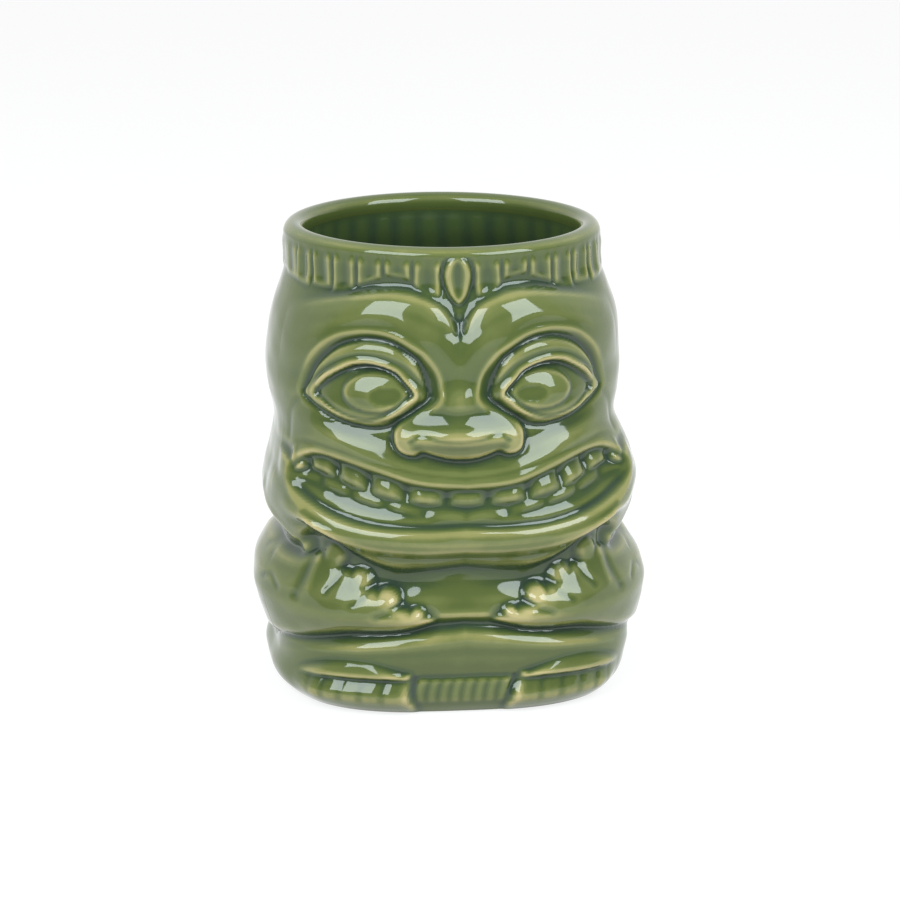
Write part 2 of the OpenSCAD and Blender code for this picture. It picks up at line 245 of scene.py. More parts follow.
# Each finger is a line and how far the flesh reaches round it, the first beside the jaw.
FINGERS = [
    [(29.7, 39.4), (31.4, 32)],
    [(23.1, 33.9), (26.4, 28)],
    [(16.7, 30.2), (20.5, 25)],
    [(10.3, 26.4), (15, 24.2)],
]
FINGER_R = [3.3, 3.4, 3.2, 2.3]
WRIST = 35.4         # u where the hand ends and the arm starts
KNUCKLES = [[(26.8, 37.4), (27.6, 34), (29.4, 31)], [(19.8, 33), (21, 30.8), (23.2, 28.8)],
            [(13.4, 28.7), (15.4, 27.6), (18.2, 26.4)]]
FOREARM = [(6.2, 25), (9, 22.9), (15, 21.3), (25, 20.2), (30, 18.9), (35, 17.4), (40, 16), (50, 13.8),
           (62, 11), (74, 12), (86, 18), (90, 27), (84, 34), (74, 37), (62, 38), (52, 37.6), (44, 37),
           (39, 37.4), (36, 38.8), (33, 39.6), (29.6, 38.8), (26.6, 37), (23.2, 36), (19.7, 33.2),
           (16.8, 32), (13.3, 29), (10, 27.8)]
ARM_CREASE = [(6.4, 24), (9, 22), (15, 20.4), (25, 19.3), (30, 18), (35, 16.5), (40, 15.1),
              (50, 12.9), (62, 10.1), (76, 11)]
SHOULDER_CREASES = [[(57, 35), (53.6, 36.4), (50.6, 34)], [(51, 29), (47, 30.6), (43.6, 28.8)]]
FOOT = [(12.2, -3), (12, 10.2), (14, 11.4), (18, 13.2), (22, 14.4), (27, 14), (32, 12.4),
        (38, 10), (41, 7), (41, -3)]
TOE_GAPS = [17.2, 21.8, 26.2, 30.4, 34.4]
APRON_HALF = 10.7
STRAND = 2.65        # width of one strand of the apron


def tooth_edge(x):
    """Where a tooth starts, counted from the middle of the face: the teeth narrow outwards."""
    return np.sign(x) * (9.3 * abs(x) - 0.21 * x * x)


# ---- sculpting -----------------------------------------------------------------------------

def raised(line, lift):
    """The heights of a line shifted by lift."""
    return [(u, z + lift) for u, z in line]


def level(value):
    """The same value all the way round."""
    return [(0, value), (60, value)]


# How far the sides stand out, and how far the whole mug leans towards +x, at each height.
SIDE_SWELL = [(0, 1.0), (3, 1.0), (7, 0.6), (12, 0.4), (19, -0.3), (23, -0.8), (27, -0.4), (31, 0.4),
              (34.5, -0.3), (38.4, -1.7), (41.4, -1.0), (44.4, 0.8), (47, 1.4), (52, 1.25), (58, 1.1),
              (64, 0.9), (68, 0.6), (74, 1.2), (84, 1.0), (92, 0.6), (104, 0.6), (113, 0.3)]
SWAY = [(0, 0), (3, -0.3), (6, -0.2), (10, 0.8), (16, 1.0), (24, 0.55), (34, 0.1), (40, 0.5), (46, 0.3),
        (53, 0.95), (58, 1.1), (63, 0.4), (68, -0.5), (75, -0.7), (88, -0.35), (100, -0.3), (108, -0.6),
        (115, -0.7)]

# The front of the figure as a loft: each station is a line across the front and how far the
# surface stands out along it. Stations run upwards.
STATIONS = [
    (level(0), level(0)),
    (level(3.4), level(0.2)),
    ([(0, 9.8), (20, 10.6), (40, 8.6), (60, 8)], [(0, 0.1), (20, 0.6), (36, 0.5), (60, 0)]),
    ([(0, 16.4), (20, 15), (40, 13), (60, 12)], [(0, 1.6), (24, 1.3), (44, 0.5), (60, 0)]),
    ([(0, 21.6), (10, 20.6), (20, 18.8), (40, 14.7), (60, 13.6)],
     [(0, 1.6), (20, 1.3), (40, 0.5), (60, 0)]),
    ([(0, 23.6), (10, 22.3), (20, 20.2), (40, 16), (60, 15)], [(0, -0.4), (24, -0.3), (60, 0)]),
    (level(26.2), [(0, 1.1), (6, 1.0), (10, 0.5), (60, 0)]),
    ([(0, 29), (60, 30)], [(0, 0.7), (8, 0.9), (14, 0.7), (24, 0.2), (60, 0)]),
    ([(0, 35), (12, 34.2), (20, 36), (30, 38.6), (36, 38), (44, 35), (60, 34)],
     [(0, -0.7), (8, -1.1), (13, -1.5), (20, -1.1), (30, -0.9), (44, -0.2), (60, 0)]),
    (raised(JAW, -1.3), [(0, -0.8), (20, -0.9), (30, -0.8), (44, -0.3), (60, 0)]),
    (raised(JAW, 1.3), [(0, 1.6), (20, 1.7), (30, 1.6), (40, 0.9), (56, 0.3)]),
    ([(0, 41.6), (10, 41.1), (20, 42), (30, 45.4), (34, 47), (40, 46.4), (60, 44)],
     [(0, 2.6), (20, 2.7), (32, 2.4), (44, 1.0), (58, 0.2)]),
    ([(0, 43.6), (10, 43.4), (20, 43.7), (30, 45.9), (38, 49), (44, 50.8), (60, 48)],
     [(0, 4.5), (10, 4.3), (20, 4.1), (30, 3.8), (40, 2.8), (46, 1.4), (58, 0.1)]),
    (LIP_CREST, [(0, 4.6), (6, 4.4), (14, 4.2), (22, 3.9), (30, 3.6), (38, 3.0), (44, 2.1), (58, 0)]),
    (raised(LIP_CREST, 2.3),
     [(0, 3.4), (8, 3.1), (16, 2.8), (24, 2.5), (32, 2.2), (38, 2.2), (43, 2.5), (50, 0.8), (58, 0)]),
    (raised(LIP_CREST, 3.2),
     [(0, 2.0), (12, 1.6), (22, 1.2), (32, 0.8), (38, 1.1), (43, 2.5), (50, 0.8), (58, 0)]),
    (raised(LIP_CREST, 4.3),
     [(0, 1.9), (12, 1.5), (22, 1.1), (32, 0.7), (38, 0.9), (43, 2.5), (50, 0.8), (58, 0)]),
    (raised(LIP_CREST, 6.3),
     [(0, 0.9), (12, 0.5), (22, 0.1), (32, -0.3), (38, 0.2), (43, 2.4), (50, 0.8), (58, 0)]),
    (BITE + [(50, 60.4)], [(0, 0.4), (20, 0.1), (32, -0.4), (37, -0.2), (43, 2.4), (50, 0.8), (58, 0)]),
    (raised(MOUTH_TOP, -0.5) + [(50, 61.4)],
     [(0, 0.6), (20, 0.4), (32, 0.1), (38, 0.5), (43, 2.2), (50, 0.8), (58, 0)]),
    (raised(MOUTH_TOP, 0.9) + [(50, 62.6)], [(0, 2.0), (20, 2.0), (34, 1.9), (43, 1.9), (50, 0.7), (58, 0)]),
    (LIP_TOP, [(0, 2.6), (12, 2.8), (20, 2.9), (30, 2.8), (40, 2.0), (48, 1.0), (58, 0)]),
    (raised(LIP_TOP, 3.0), [(0, 1.4), (12, 2.0), (20, 2.4), (30, 2.5), (40, 1.5), (48, 0.6), (58, 0)]),
    (raised(CHEEK_TOP, -0.9), [(0, 0.5), (14, 0.6), (20, 0.7), (30, 0.8), (40, 0.6), (48, 0.1), (58, 0)]),
    (raised(CHEEK_TOP, 0.9), [(0, 0.5), (14, 0.4), (20, 0.5), (30, 0.6), (40, 0.5), (48, 0.1), (58, 0)]),
    (level(82), [(0, 0.3), (6, 0.3), (30, 0.6), (40, 0.1), (58, 0)]),
    ([(0, 90), (8, 91), (15, 95), (20, 96), (25, 95.4), (30, 93.6), (36, 89.5), (40, 87), (60, 86)],
     [(0, 0.4), (5, 1.3), (10, 2.1), (20, 2.3), (30, 2.0), (40, 0.9), (50, 0.1)]),
    ([(0, 93.4), (4, 95.4), (8, 98), (15, 99.8), (20, 99.8), (30, 97.6), (40, 95), (60, 92)],
     [(0, 0.0), (3, 0.9), (6, 2.0), (12, 2.9), (20, 3.1), (30, 2.6), (40, 1.2), (50, 0.2)]),
    (raised(BROW_TOP, -1.2),
     [(0, -0.5), (2, 0.2), (5, 1.2), (12, 1.9), (20, 1.9), (30, 1.5), (40, 0.7), (50, 0.1)]),
    (raised(BROW_TOP, 0.9), [(0, -0.9), (4, -0.3), (10, -0.3), (30, -0.4), (42, -0.2), (54, 0)]),
    ([(0, 104), (4, 105), (10, 107), (22, 107), (30, 106), (60, 104.4)], [(0, -0.6), (60, -0.4)]),
    (level(112.4), level(-0.25)),
    (level(113.5), level(0)),
]


def loft():
    """The relief that runs smoothly from each station to the next up every column."""
    gap = 0.35       # the least height from one station to the next
    lines = np.array([curve(line, half_u) for line, _ in STATIONS])
    lifts = np.array([curve(sorted(both_sides(lift)), half_u) for _, lift in STATIONS])
    for n in range(1, len(lines)):
        lines[n] = np.maximum(lines[n], lines[n - 1] + gap)
    columns = [curve(np.stack([z, h], -1), rows_z) for z, h in zip(lines.T, lifts.T)]
    return np.stack(columns, -1)


def fringe(h):
    """Leaves under the rim, each a soft scoop between two low edges, and the forehead's own leaf."""
    turn = U / LEAF_PITCH
    number = np.round(turn)
    x = (turn - number) * LEAF_PITCH + (0.03 + 0.05 * np.sin(number * 2.3)) * (Z - 109)
    low = curve(LEAF_LOW, U) + 0.5 * np.sin(number * 4.1)
    edge = LEAF_PITCH / 2
    centre = depth_in(spline(CENTRE_LEAF, True))
    fade = between(Z, LEAF_TOP, 110) * between(centre, -0.2, -1.2)
    body = step(Z - low, 1.6)
    h = h + fade * body * (0.65 - 0.65 * ridge(abs(x) - edge, 0.55))
    h += fade * step(Z - low - 0.8, 1.6) * (0.26 * ridge(abs(x) - edge + 1.2, 0.7) - 0.45 * ridge(x, 1.7))
    h += 1.5 * domed(centre, 2) - 0.9 * ridge(U, 1.7) * domed(centre - 0.7, 1.5)
    h -= 0.25 * ridge(centre + 0.3, 0.55)
    return h


def brows(h):
    """A low edge along the top of each brow, and the cleft between them."""
    crest = distance(spline(raised(BROW_TOP, -0.8)))
    h = h + 0.22 * ridge(crest, 0.7) * between(U, 46, 32) * between(U, 0.6, 2.4)
    h -= 0.6 * ridge(U, 1.6) * between(Z, 93.5, 96) * between(Z, 100, 97)
    return h


def eyes(h):
    """A sunken socket, with lids that stand round a domed eye and its iris."""
    socket = depth_in(spline(SOCKET, True))
    lids = depth_in(spline(LIDS, True))
    eye = depth_in(spline(EYE, True))
    far = 0.35 + 0.65 * between(U, 42, 33)
    h = h - 1.5 * step(socket - 0.8, 3.0) * far * (0.3 + 0.7 * between(Z, 73, 79))
    h += 0.3 * ridge(socket + 0.5, 0.7) * between(Z, 74, 80) * far
    h += 1.7 * rounded(lids, 3.0)
    h -= 0.35 * ridge(lids + 0.3, 0.6)
    h -= 0.3 * ridge(eye + 2.3, 0.5) * between(Z, 79, 83)
    h += 0.42 * ridge(eye + 0.75, 0.6)
    h -= 1.1 * step(eye - 0.1, 0.7)
    h -= 0.25 * ridge(eye - 0.4, 0.4)
    h += 2.0 * blob(21.8, 80.5, 12.6, 6.6)
    h -= 0.24 * (Z - 79.5) * step(eye - 0.2, 1.2)
    iris = blob(19, 81.1, 7.6, 4.7)
    h += 1.1 * iris - 0.45 * blob(16.4, 80.4, 3.6, 2.2) + 0.2 * ridge(iris - 0.45, 0.25) * (iris > 0)
    return h


def nose(h):
    """A narrow bridge that spreads into a broad tip with rounded wings."""
    width = curve([(64, 8), (67, 10), (71, 10.4), (74, 8.8), (77, 6.8), (80, 5.2), (84, 4.3), (90, 4),
                   (96, 4)], Z)
    lift = curve([(63.2, 0), (64.8, 0.5), (66.4, 1.3), (68.4, 2.3), (69.6, 3.2), (70.6, 3.7), (71.8, 3.4),
                  (73.8, 2.5), (75.4, 2.2), (78, 2.4), (79.8, 2.2), (84, 0.8), (88, 0.5), (92, 0.2),
                  (95, 0)], Z)
    h = h + lift * np.exp(-np.abs(U / width) ** 1.9)
    d = depth_in(spline(NOSE, True), 12)
    tip = between(Z, 77, 70.5)
    h += 2.2 * rounded(d, 2.9) * tip
    h += 0.7 * swelling(11.4, 68.6, 3.4, 3.6)
    h += 0.25 * ridge(d - 0.6, 0.6) * tip
    h -= 0.3 * ridge(d + 0.8, 0.8) * tip
    h -= 0.4 * ridge(distance(spline([(0, 70.3), (4, 70.5), (8.4, 71.3), (10.6, 70)])), 0.5)
    h -= 0.35 * swelling(9.6, 68.2, 1.6, 1.8)
    return h


def mouth(h):
    """Two rows of pillow-like teeth, the ridge round the corners, and the creases over the lip."""
    upper_edges = np.array([tooth_edge(n + 0.5) for n in range(5)])
    lower_edges = np.array([tooth_edge(n) for n in range(6)])
    upper_gap = abs(U[..., None] - upper_edges).min(-1)
    lower_gap = abs(U[..., None] - lower_edges).min(-1)
    bite, ceiling, root = curve(BITE, U), curve(MOUTH_TOP, U), curve(GUM, U)
    half = 4.4 - 0.045 * U
    ends = between(U, 41.5, 39)
    across = np.clip(1 - (upper_gap - 0.2) / (half - 0.2), 0, 1)
    up = np.clip(2 * (Z - bite - 0.1) / (ceiling - bite - 0.1) - 1, -1, 1)
    h = h + 1.5 * (1 - across ** 2) * (1 - abs(up) ** 2) * ends
    across = np.clip(1 - (lower_gap - 0.1) / (half - 0.1), 0, 1)
    up = np.clip(2 * (Z - root) / (bite - 0.1 - root) - 1, -1, 1)
    h += 0.45 * (1 - across ** 2) * (1 - abs(up) ** 2) * ends
    rim = distance(spline([(37, 63.6), (40.6, 62.4), (42.8, 60), (42.8, 57), (40, 53.6), (36, 51)]))
    h += 0.25 * ridge(rim, 0.8)
    h += 0.3 * ridge(distance(spline(raised(MOUTH_TOP, 1.5))), 0.8) * between(U, 41, 36)
    h -= 0.16 * ridge(distance(spline(raised(LIP_TOP, -0.2))), 0.5) * between(U, 44, 36)
    h -= 0.16 * ridge(distance(spline(raised(LIP_TOP, -1.5))), 0.5) * between(U, 40, 30)
    return h


def jaw(h):
    """Creases under the lower lip, under the jaw and down beside the cheek."""
    h = h - 0.15 * ridge(distance(spline(LIP_LOW)), 0.6) * between(U, 42, 34)
    h -= 0.25 * ridge(distance(spline(raised(JAW, -0.6))), 0.9) * between(U, 44, 36)
    h -= 0.2 * ridge(distance(spline([(40, 76.5), (43, 73.5), (44.6, 70), (45, 66)])), 1.1)
    return h


def trunk(h):
    """The groove over the apron, and the small roll between the hands."""
    groove = 0.3 * ridge(Z - 10.3, 0.7) * between(U, 13, 9)
    roll = 0.25 * ridge(Z - 26.2, 0.8) * between(U, 7, 4)
    return h - groove + roll


def limbs(h):
    """Arm, hand and fingers as one mass, with its creases, and the lock of hair over the shoulder."""
    edge = depth_in(spline(FOREARM, True), 14)
    for bone, r in zip(FINGERS, FINGER_R):
        edge = np.maximum(edge, r - distance(bone, 9))
    stand = curve([(9, 2.4), (14, 3.0), (18, 3.8), (22, 4.6), (25.5, 4.8), (29, 4.0), (34, 2.7),
                   (39, 1.9), (46, 1.4)], Z)
    hand = between(U, 3, 14)
    far = between(U, 92, 66)
    elbow = 1.3 * swelling(58, 25, 14, 8)
    under = 1 - 0.45 * ridge(distance(spline(ARM_CREASE), 10), 2.6)
    mass = (0.75 * domed(edge, 2.3) + 0.25 * domed(edge, 8)) * under
    h = h + (stand * (0.35 + 0.65 * far) * (0.46 + 0.54 * hand) + elbow) * mass * between(U, 92, 80)
    for knuckle in KNUCKLES:
        h -= 0.3 * ridge(distance(spline(knuckle)), 0.8)
    h -= 0.12 * ridge(distance(spline(raised(ARM_CREASE, -1.2))), 0.7)
    h -= 0.4 * ridge(distance(spline([(35.4, 43), (35.7, 38), (36, 33), (37.4, 28.6)])), 1.4)
    h += 0.2 * ridge(distance(spline([(33.2, 41), (33.6, 36), (34, 31)])), 0.9)
    for crease in SHOULDER_CREASES:
        h -= 0.3 * ridge(distance(spline(crease)), 0.8)
    h += 1.0 * swelling(38.4, 39.6, 1.8, 2.4)
    h += 0.5 * ridge(distance(spline([(39, 40), (45, 42.4), (53, 45.6), (62, 49)])), 1.6)
    return h


def feet(h):
    """Toes with a low instep over them, and the strands of the apron between the feet."""
    foot = depth_in(spline(FOOT, True), 10)
    side = between(U, 41, 31)
    toe_line = 9.9 + 0.03 * (U - 12) - 0.0035 * (U - 12) ** 2
    below = between(Z, toe_line + 0.5, toe_line - 0.5)
    toes = curve([(0, 0.4), (2.4, 1.5), (4.6, 2.4), (7, 1.6), (9.6, 0.5)], Z) * below
    instep = np.clip(0.1 + 0.5 * (toe_line + 4.2 - Z), 0, 1.9) * (1 - below)
    h = h + np.clip(toes + instep, 0, 3) * domed(foot, 1.8) * side
    gaps = abs(U[..., None] - np.array(TOE_GAPS)).min(-1)
    h -= 0.24 * ridge(gaps, 0.8) * step(foot - 0.4, 0.8) * below * between(Z, 2.6, 4.8) * side
    apron = between(U, APRON_HALF + 0.3, APRON_HALF - 0.3) * between(Z, 10.2, 9.2) * between(Z, 3.0, 4.4)
    strands = abs(U / STRAND - np.round(U / STRAND - 0.5) - 0.5) * 2
    h += apron * (0.4 - 0.26 * ridge(1 - strands, 0.4))
    h -= 0.55 * ridge(abs(U - APRON_HALF - 0.5), 0.7) * between(Z, 3.0, 4) * between(Z, 11, 10)
    return h


def unevenness(x, y, z):
    """Slow waves over the hand-finished clay and the thick glaze, in mm."""
    rng = np.random.default_rng(7)
    total = np.zeros_like(x)
    for wavelength, size in ((26.0, 0.16), (13.0, 0.06), (6.5, 0.022)):
        for _ in range(5):
            way = rng.normal(size=3)
            way *= 2 * math.pi / (wavelength * np.linalg.norm(way))
            phase = rng.uniform(0, 2 * math.pi)
            total += size * np.sin(way[0] * x + way[1] * y + way[2] * z + phase) / 2
    return total


def sculpt():
    """How far the finished surface stands out from the cup, in mm."""
    h = loft() + curve(SIDE_SWELL, Z) * between(U, 28, 56) * between(U, 112, 84)
    for carve in (fringe, brows, eyes, nose, mouth, jaw, trunk, limbs, feet):
        h = carve(h)
    return blur(h, 0.33)


relief = sculpt()


def pooling(h):
    """How thick the glaze lies, from 0 on raised edges to 1 in creases: about 0.5 on flat parts."""
    fine = blur(h, 0.5) - h
    middle = blur(h, 1.3) - h
    broad = blur(h, 3.6) - h
    score = 0.7 * fine / 0.07 + 0.75 * middle / 0.42 + 0.35 * broad / 1.6
    return 0.5 + 0.5 * np.tanh(0.52 * score)


pool = pooling(relief)


# ---- the whole surface ---------------------------------------------------------------------

def mirrored(half, sign=1):
    """A field all round the cup, from its right half. Column 0 is at the back."""
    left = sign * half[:, ::-1]
    return np.concatenate([left[:, :-1], half[:, :-1]], axis=1)


def plan_radius(width, power, angle):
    """Radius of the rounded-square plan at an angle."""
    return width * (abs(np.cos(angle)) ** power + abs(np.sin(angle)) ** power) ** (-1 / power)


def plan_power(z):
    """How square the plan is at a height."""
    return BASE_POWER + (RIM_POWER - BASE_POWER) * z / TOP


around_u = np.concatenate([-half_u[::-1][:-1], half_u[:-1]])
angles = around_u / NOMINAL_R
COLUMNS = len(angles)


def ring(radius, z):
    """Points of one level all round, in mm. Inside, only the top of the wall leans with the mug."""
    lean = curve(SWAY, z) * between(z, 80, 100)
    return np.stack([radius * np.sin(angles) + lean, -radius * np.cos(angles), np.full(COLUMNS, z)], -1)


def outer_surface():
    """The radius and the points of the whole outside, in mm."""
    height = mirrored(relief)
    z = rows_z[:, None] * np.ones(COLUMNS)
    radius = plan_radius(curve(PROFILE, rows_z)[:, None], plan_power(rows_z)[:, None], angles)
    radius = radius + height
    x, y = radius * np.sin(angles), -radius * np.cos(angles)
    radius = radius + unevenness(x, y, z) * between(z, RIM_TURN, 100) * between(z, 0, 4)
    lean = curve(SWAY, z)
    return radius, np.stack([radius * np.sin(angles) + lean, -radius * np.cos(angles), z], -1)


def grid_normals(points):
    """Normals of a grid that closes on itself across its columns."""
    across = np.roll(points, -1, 1) - np.roll(points, 1, 1)
    up = np.gradient(points, axis=0)
    normal = np.cross(across, up)
    return normal / np.linalg.norm(normal, axis=2, keepdims=True)


outer_radius, outer = outer_surface()


def vessel_rings():
    """The rest of the wall, from the outside's top edge over the rim, down the inside and under, with the
    glaze colour of each ring: down the inside it is set dark, which paints shade inside the cup.
    """
    top_r = plan_radius(PROFILE[-1][1], plan_power(RIM_TURN), angles)
    rings, glaze_and_shade = [], []
    turn_r = RIM_WIDTH / 2
    crown = TOP - RIM_TURN
    for a in np.linspace(0, math.pi, 15)[1:]:
        rings.append(ring(top_r - turn_r * (1 - math.cos(a)), RIM_TURN + crown * math.sin(a)))
        edges = math.exp(-((a - 0.75) / 0.4) ** 2) + math.exp(-((a - 2.6) / 0.3) ** 2)
        glaze_and_shade.append(0.52 - 0.28 * edges)
    inner_r = top_r - RIM_WIDTH
    rings.append(ring(inner_r, RIM_INNER_LOW + 0.5))
    glaze_and_shade.append(0.6)
    rings.append(ring(inner_r + 0.15, RIM_INNER_LOW))
    glaze_and_shade.append(0.42)
    flutes = np.cos(angles * LEAVES)
    # Down the inside the glaze colour is set dark (0.8) as painted shade inside the cup; the small change
    # with the flutes is glaze pooling in their grooves.
    for z in np.concatenate([np.linspace(110.4, 92, 14), np.linspace(88, CORNER_TOP, 12)]):
        body = plan_radius(curve(PROFILE, z), plan_power(z), angles) - WALL
        blend_in = between(z, RIM_INNER_LOW, 108.5)
        r = (inner_r + 0.45) * (1 - blend_in) + body * blend_in
        depth = 0.12 * between(z, 110.5, 107) * between(z, 90, 100)
        rings.append(ring(r - depth * flutes, z))
        glaze_and_shade.append(0.8 - 0.08 * flutes * between(z, 111, 108) * between(z, 90, 100))
    corner_r = plan_radius(curve(PROFILE, CORNER_TOP), plan_power(CORNER_TOP), angles) - WALL
    for a in np.linspace(0, math.pi / 2, 9)[1:]:
        drop = (CORNER_TOP - FLOOR_TOP) * math.sin(a)
        rings.append(ring(corner_r - CORNER_REACH * (1 - math.cos(a)), CORNER_TOP - drop))
        glaze_and_shade.append(0.7)
    rings.append(ring(corner_r - FLOOR_INSET, FLOOR_TOP - 0.6))
    glaze_and_shade.append(0.7)
    rings.append(ring(corner_r - FLOOR_INSET, FOOT_H))
    glaze_and_shade.append(0.6)
    under_r = plan_radius(PROFILE[0][1], plan_power(0), angles)
    rings.append(ring(np.maximum(under_r - 3.2, FOOT_R + 0.1), FOOT_H))
    glaze_and_shade.append(0.6)
    rings.append(ring(under_r - 1.6, 0.35))
    glaze_and_shade.append(0.5)
    rings.append(ring(under_r - 0.7, 0.12))
    glaze_and_shade.append(0.45)
    glaze_and_shade = [np.broadcast_to(p, COLUMNS) for p in glaze_and_shade]
    return np.array(rings), np.array(glaze_and_shade)


# ---- which carved piece each cell belongs to ------------------------------------------------

def strip(low, high, last_u):
    """A closed outline on both sides of the middle, between two curves of z against u."""
    u = np.arange(0, last_u + 0.01, 1.0)
    top = [(a, float(curve(high, a))) for a in u]
    bottom = [(a, float(curve(low, a))) for a in reversed(u)]
    return np.array(both_sides(top + bottom))


def closed(points):
    """The points with the first one again at the end."""
    points = np.array(points)
    return np.vstack([points, points[:1]])


MOUTH_HALF = 41.5
LID_SPLIT = [(0, 80.7), (10.4, 80.7), (34.6, 79.4), (60, 78)]
BROW_LOW = [(3, 87), (5.4, 87), (8, 90.4), (10, 92), (15, 95), (20, 95.9), (25, 95.4), (30, 93.8),
            (35, 90.2), (39.6, 84), (44, 82)]


def regions(u, z):
    """Name of each carved piece, and whether each place is in it. u is signed."""
    a = abs(u)
    side = {"left": u < 0, "right": u > 0}
    leaf_band = (z > curve(LEAF_LOW, a) - 0.4) & (z < LEAF_TOP)
    centre = inside(closed(spline(CENTRE_LEAF, True)), u, z)
    eye = inside(spline(EYE, True), a, z)
    lids = inside(spline(LIDS, True), a, z) & ~eye
    socket = inside(spline(SOCKET, True), a, z)
    upper_side = z > curve(LID_SPLIT, a)
    nose_in = inside(spline(NOSE, True), u, z)
    brow = (z < curve(BROW_TOP, a) - 0.2) & (z > curve(BROW_LOW, a)) & (a > 2.6) & (a < 44) & ~socket
    lip_in = inside(strip(MOUTH_TOP, LIP_TOP, MOUTH_HALF), u, z)
    upper = inside(strip(BITE, MOUTH_TOP, 40.0), u, z)
    lower = inside(strip(GUM, BITE, 40.0), u, z) & ~upper
    low_lip = inside(strip(LIP_LOW, GUM, 42.0), u, z) & ~lower & ~upper
    chin = inside(strip(JAW, LIP_LOW, 43.0), u, z) & ~low_lip
    cheek = (a > 15) & (a < 44) & (z > curve(LIP_TOP, a) + 0.4) & (z < curve(CHEEK_TOP, a) - 0.4)
    cheek &= ~socket & ~nose_in & ~lip_in
    arm = inside(spline(FOREARM, True), a, z) & (a > WRIST)
    hand = inside(spline(FOREARM, True), a, z) & (a <= WRIST)
    for (tip_u, tip_z), r in zip([bone[0] for bone in FINGERS], FINGER_R):
        hand |= np.hypot(a - tip_u, z - tip_z) < r - 0.1
    lock = np.hypot((a - 37) / 3.4, (z - 40.5) / 4) < 1
    chest = (a < 13) & (z > 28) & (z < 36.6) & ~hand
    belly = (a < 20) & (z > 10.4 + 0.008 * u * u) & (z < 22.2 - 0.011 * u * u)
    foot = inside(spline(FOOT, True), a, z)
    apron = (a < APRON_HALF) & (z > 3.8) & (z < 9.6)
    named = [
        ("hair_fringe", leaf_band & ~centre), ("forehead_leaf", centre & (z < 112.9)),
        ("nose", nose_in), ("upper_lip", lip_in), ("upper_teeth", upper), ("lower_teeth", lower),
        ("lower_lip", low_lip), ("chin", chin), ("chest", chest), ("belly", belly), ("apron", apron),
    ]
    for name, where in side.items():
        named += [
            ("brow_" + name, brow & where & ~nose_in), ("eye_" + name, eye & where),
            ("upper_lid_" + name, lids & upper_side & where),
            ("lower_lid_" + name, lids & ~upper_side & where & ~nose_in),
            ("cheek_" + name, cheek & where), ("hair_lock_" + name, lock & where & ~hand),
            ("hand_" + name, hand & where & ~belly), ("arm_" + name, arm & where & ~lock),
            ("foot_" + name, foot & where & ~belly),
        ]
    return named


def label_cells():
    """The number of the piece that each cell of the surface belongs to, and the pieces' names."""
    mid_u = around_u + np.diff(np.append(around_u, HALF_TURN)) / 2
    cell_u, cell_z = np.meshgrid(mid_u, (rows_z[1:] + rows_z[:-1]) / 2)
    labels = np.zeros(cell_u.shape, int)
    names = ["cup_wall"]
    for name, where in regions(cell_u, cell_z):
        names.append(name)
        labels[where & (labels == 0)] = len(names) - 1
    # Where two cells of one piece touch only at a corner, the upper left one takes the label under it.
    for _ in range(12):
        a, b = labels[:-1], labels[1:]
        a2, b2 = np.roll(a, -1, 1), np.roll(b, -1, 1)
        cross = (a == b2) & (a2 != a) & (b != a) | (a2 == b) & (a != a2) & (b2 != a2)
        if not cross.any():
            break
        row, col = np.nonzero(cross)
        labels[row + 1, col] = labels[row, col]
    return labels, names


# ---- meshes --------------------------------------------------------------------------------

def make_object(name, points, faces, normals, glaze_and_shade):
    """A mesh object from points in mm, with its own corner normals and glaze thickness, which on the inside
    of the wall also holds painted shade.
    """
    mesh = bpy.data.meshes.new(name)
    mesh.from_pydata((points * MM).tolist(), [], faces)
    mesh.polygons.foreach_set("use_smooth", np.ones(len(faces), bool))
    glaze = mesh.attributes.new("glaze", "FLOAT", "POINT")
    glaze.data.foreach_set("value", np.asarray(glaze_and_shade, np.float32))
    if normals is not None:
        mesh.normals_split_custom_set(normals)
    obj = bpy.data.objects.new(name, mesh)
    bpy.context.collection.objects.link(obj)
    return obj


def boundary(mask):
    """Cell edges between a mask's inside and its outside, as pairs of (row, column) points, each
    running so that the inside is on its left, seen from outside the cup."""
    pairs = []
    below = np.zeros_like(mask)
    below[1:] = mask[:-1]
    above = np.zeros_like(mask)
    above[:-1] = mask[1:]
    for r, c in zip(*np.nonzero(mask & ~below)):
        pairs.append(((r, c), (r, (c + 1) % COLUMNS)))
    for r, c in zip(*np.nonzero(mask & ~above)):
        pairs.append(((r + 1, (c + 1) % COLUMNS), (r + 1, c)))
    for r, c in zip(*np.nonzero(mask & ~np.roll(mask, 1, 1))):
        pairs.append(((r + 1, c), (r, c)))
    for r, c in zip(*np.nonzero(mask & ~np.roll(mask, -1, 1))):
        pairs.append(((r, (c + 1) % COLUMNS), (r + 1, (c + 1) % COLUMNS)))
    return pairs


def cell_quads(mask, flip=False):
    """The corners of each cell in a mask, as points of the whole grid."""
    r, c = np.nonzero(mask)
    c2 = (c + 1) % COLUMNS
    corners = [r * COLUMNS + c, r * COLUMNS + c2, (r + 1) * COLUMNS + c2, (r + 1) * COLUMNS + c]
    quads = np.stack(corners, -1)
    return quads[:, ::-1] if flip else quads


outer_normals = grid_normals(outer)
inward = outer.copy()
inward_r = outer_radius - BACKING
inward[..., 0] = inward_r * np.sin(angles)
inward[..., 1] = -inward_r * np.cos(angles)
all_pools = mirrored(pool)
GRID = outer.shape[0] * COLUMNS


def flat_normals(points, faces):
    """One normal for each face."""
    p = points[faces]
    normal = np.cross(p[:, 2] - p[:, 0], p[:, 3] - p[:, 1])
    return normal / np.maximum(np.linalg.norm(normal, axis=1, keepdims=True), 1e-12)


